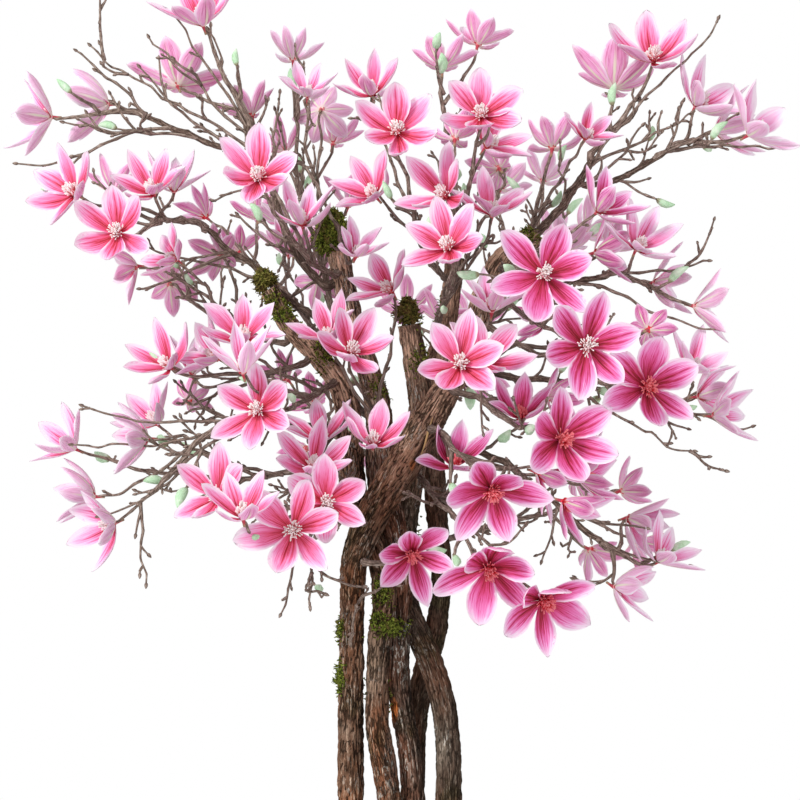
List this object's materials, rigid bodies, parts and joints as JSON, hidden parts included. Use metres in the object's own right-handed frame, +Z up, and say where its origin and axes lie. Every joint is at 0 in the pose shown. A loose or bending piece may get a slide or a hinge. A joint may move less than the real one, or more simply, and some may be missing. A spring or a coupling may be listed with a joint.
{
  "type": "potted artificial magnolia tree",
  "caption": "Artificial magnolia tree in a plain tapered pot: twisted bare stems of real wood carry a wide, airy crown of pink star-shaped blossom on wiry twigs.",
  "frame": {"origin": "centre of the pot's flat underside", "axes": "+Z up along the stems; -Y is the side the crown's fullest blossom looks toward, as in the picture, with +X to the viewer's right"},
  "size_m": [1.0534, 0.806, 1.6474],
  "materials": {
    "pot": "matte",
    "soil": "matte",
    "bark": "matte",
    "twig": "matte",
    "blossom": "matte",
    "moss": "matte"
  },
  "bodies": {
    "root": {"pot": "pot", "soil": "soil", "stem_left": "bark", "stem_centre_left": "bark", "stem_centre": "bark", "stem_right": "bark", "stem_back": "bark", "moss_left": "moss", "moss_top": "moss", "moss_centre": "moss", "bough_upper_left": "twig", "bough_far_left": "twig", "bough_left": "twig", "bough_low_left": "twig", "bough_upper_right": "twig", "bough_far_right": "twig", "bough_right": "twig", "bough_mid_right": "twig", "bough_low_right": "twig", "bough_top": "twig", "bough_back_left": "twig", "bough_back_right": "twig", "spray_top_left": "blossom", "spray_far_left": "blossom", "spray_left": "blossom", "spray_low_left": "blossom", "spray_upper_right": "blossom", "spray_far_right": "blossom", "spray_right": "blossom", "spray_mid_right": "blossom", "spray_low_right": "blossom", "spray_top": "blossom", "spray_back_left": "blossom", "spray_back_right": "blossom", "spray_high_left": "blossom", "spray_left_back": "blossom", "spray_high_right": "blossom", "spray_front_high_left": "blossom", "spray_front_high": "blossom", "spray_front_top": "blossom", "spray_front_upper": "blossom", "spray_front_right_high": "blossom", "spray_front_right": "blossom", "spray_front_far_right": "blossom", "spray_front_centre": "blossom", "spray_front_right_low": "blossom", "spray_front_low": "blossom", "spray_front_lowest": "blossom", "spray_trunk": "blossom", "spray_front_middle": "blossom", "spray_front_low_left": "blossom", "spray_left_low": "blossom", "spray_front_left": "blossom", "spray_left_middle": "blossom", "spray_left_tip": "blossom", "spray_back_1": "blossom", "spray_back_2": "blossom", "spray_back_3": "blossom", "spray_back_4": "blossom", "spray_back_5": "blossom"}
  },
  "joints": []
}
